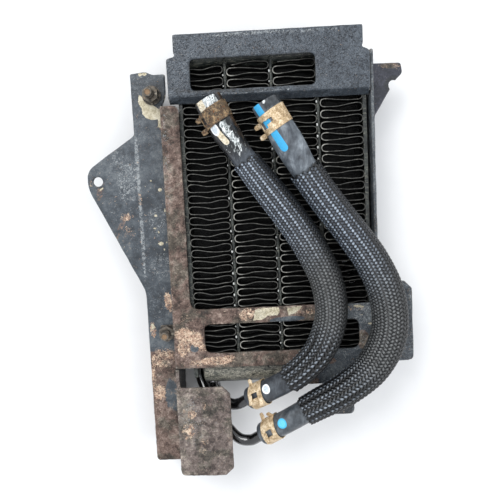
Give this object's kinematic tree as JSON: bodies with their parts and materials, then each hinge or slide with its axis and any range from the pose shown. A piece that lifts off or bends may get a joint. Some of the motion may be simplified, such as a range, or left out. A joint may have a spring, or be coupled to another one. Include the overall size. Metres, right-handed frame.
{
  "type": "hydraulic oil cooler",
  "caption": "Small tube-and-fin oil cooler in a sheet-metal cradle with mounting ears, a slotted front frame, a windowed top cover and a pair of sleeved rubber hoses on its pipes.",
  "frame": {"origin": "middle of the cooler's outline without its hoses, on the flat plane its rail and web lie on", "axes": "+X along the headers towards the side where the hoses bend, +Y up the flat tubes towards the top cover, +Z out of the front face"},
  "size_m": [0.2219, 0.3038, 0.0699],
  "materials": {
    "core_paint": "worn black paint, bare metal at the fin edges",
    "cover_paint": "blistered blue-black paint",
    "slate_paint": "slate-grey paint with chips and rust",
    "rusty_steel": "rusted through its paint",
    "fastener_steel": "rusty",
    "pipe_gloss": "gloss black",
    "hose_rubber": "matt",
    "braided_sleeve": "braided monofilament with a sheen",
    "clamp_zinc": "yellow-passivated zinc, tarnished"
  },
  "bodies": {
    "root": {"flat_tube_1": "core_paint", "flat_tube_2": "core_paint", "flat_tube_3": "core_paint", "fin_column_1": "core_paint", "fin_column_2": "core_paint", "fin_column_3": "core_paint", "fin_column_4": "core_paint", "core_strip_left": "core_paint", "core_strip_right": "core_paint", "header_bottom": "core_paint", "header_top": "core_paint", "header_bottom_cap_left": "core_paint", "header_bottom_cap_right": "core_paint", "header_top_cap_left": "core_paint", "header_top_cap_right": "core_paint", "front_frame": "rusty_steel", "top_cover": "cover_paint", "left_rail": "slate_paint", "left_bracket": "slate_paint", "right_bracket": "slate_paint", "guard_plate": "rusty_steel", "upper_bolt": "fastener_steel", "upper_washer": "fastener_steel", "upper_nut": "fastener_steel", "lower_bolt": "fastener_steel", "lower_square_clip": "fastener_steel", "lower_nut": "fastener_steel", "pipe_lower": "pipe_gloss", "pipe_upper": "pipe_gloss", "hose_white": "hose_rubber", "hose_blue": "hose_rubber", "sleeve_white": "braided_sleeve", "sleeve_blue": "braided_sleeve", "clamp_white_pipe": "clamp_zinc", "clamp_white_free": "clamp_zinc", "clamp_blue_pipe": "clamp_zinc", "clamp_blue_free": "clamp_zinc"}
  },
  "joints": []
}
